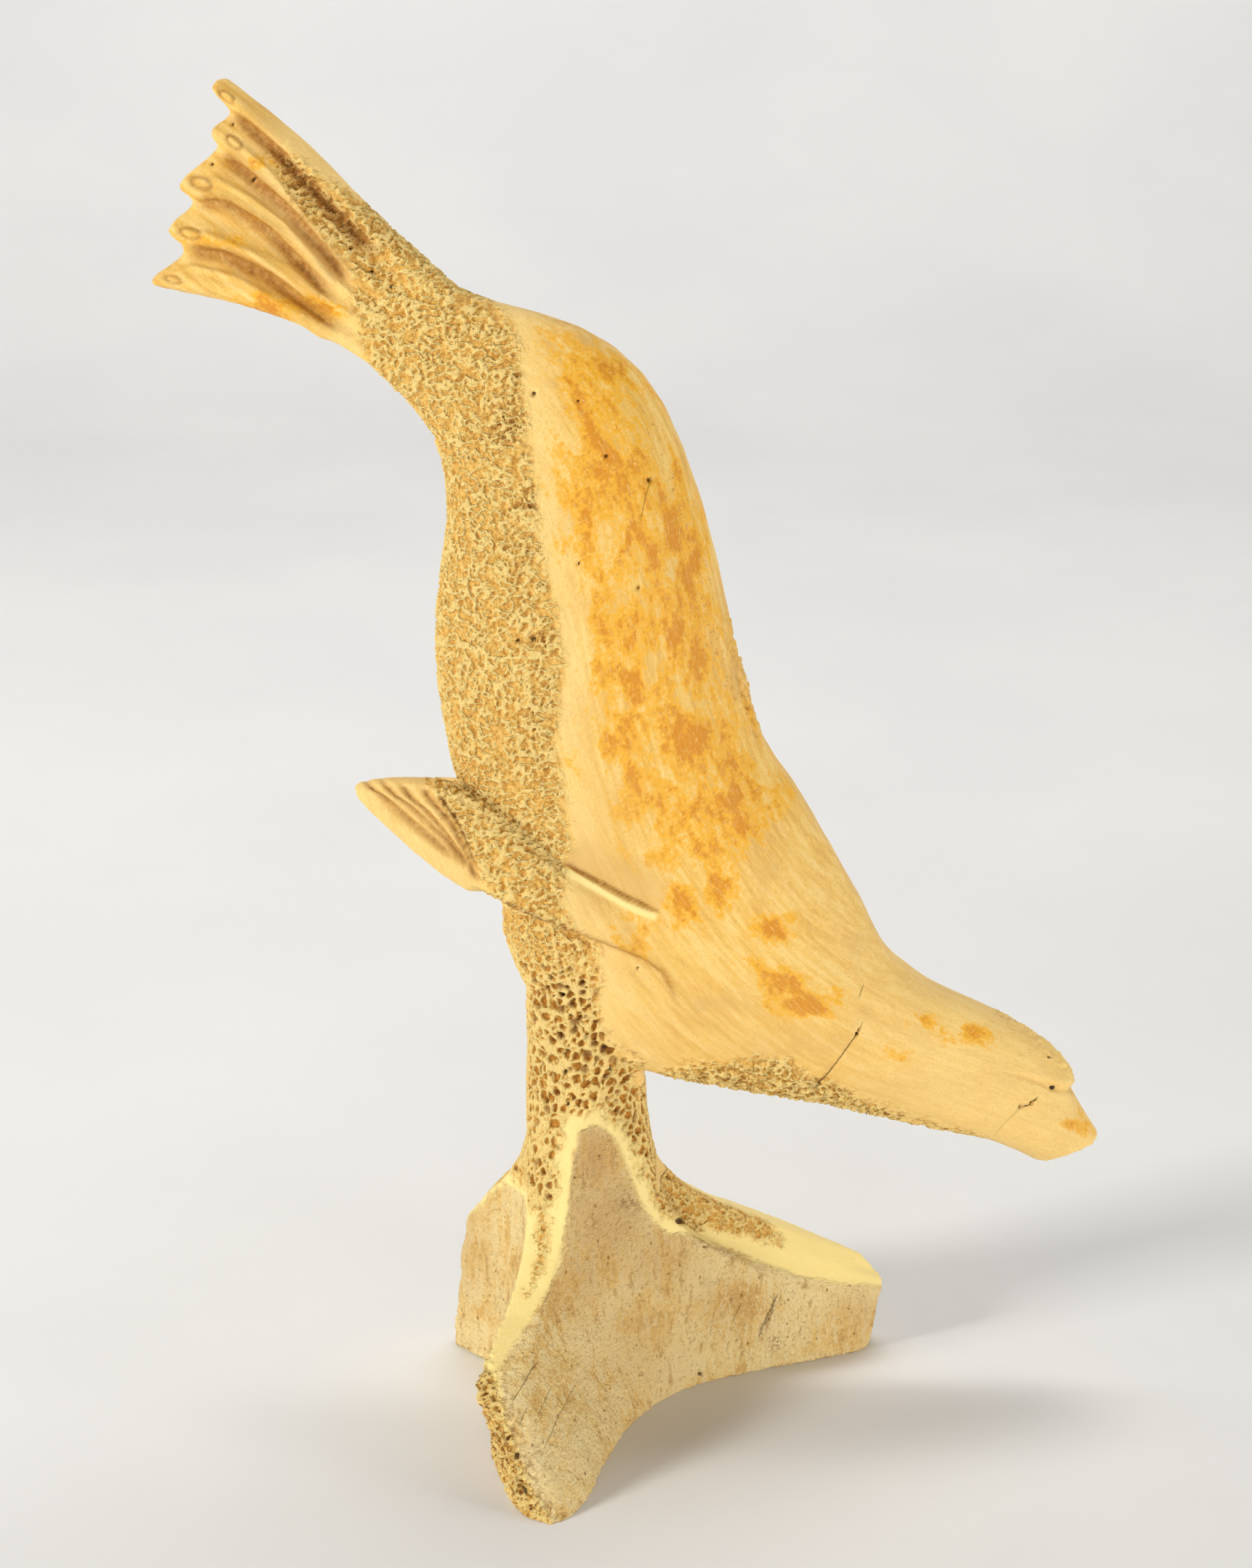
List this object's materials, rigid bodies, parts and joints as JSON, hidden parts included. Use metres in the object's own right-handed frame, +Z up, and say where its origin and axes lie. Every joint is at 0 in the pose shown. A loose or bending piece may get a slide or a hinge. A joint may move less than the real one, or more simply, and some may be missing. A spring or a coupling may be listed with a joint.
{
  "type": "seal carving in bone",
  "caption": "Diving seal carved in one piece with its stem and winged base of natural bone, tail up and nose down.",
  "frame": {"origin": "the flat cut underside, below the middle of the stem", "axes": "+Z up, +X towards the side that the nose points to, -Y towards the flank that the picture shows"},
  "size_m": [0.2087, 0.088, 0.302],
  "materials": {
    "bone": "worn satin on the dense bone, rough and pored on the spongy bone"
  },
  "bodies": {
    "root": {"carved_bone": "bone"}
  },
  "joints": []
}
